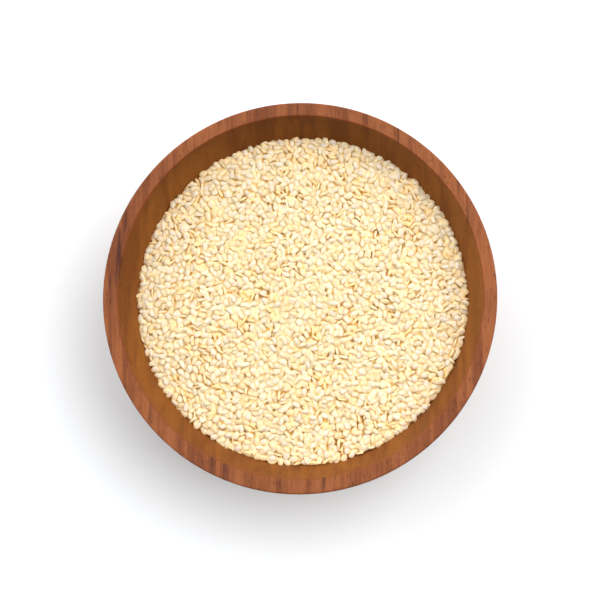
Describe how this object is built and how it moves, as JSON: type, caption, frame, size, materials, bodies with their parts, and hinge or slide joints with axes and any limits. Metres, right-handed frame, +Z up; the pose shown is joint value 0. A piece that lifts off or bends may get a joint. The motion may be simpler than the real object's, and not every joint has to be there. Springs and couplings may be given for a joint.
{
  "type": "dish of sesame seeds",
  "caption": "Small round turned wooden dish with a flared wall and a flat rim, filled with a low heap of hulled sesame seeds.",
  "frame": {"origin": "centre of the flat foot that the dish stands on, on the axis it was turned on", "axes": "+Z up, square to the rim; +Y along the grain of the wood, which is the top of the picture; +X to the right"},
  "size_m": [0.13, 0.13, 0.045],
  "materials": {
    "dish_wood": "reddish-brown hardwood with a fine grain, sanded and oiled to a low sheen, more golden inside",
    "hulled_seed": "cream hulled sesame seeds, smooth with a faint oily sheen"
  },
  "bodies": {
    "root": {"wooden_dish": "dish_wood", "sesame_seeds": "hulled_seed"}
  },
  "joints": []
}
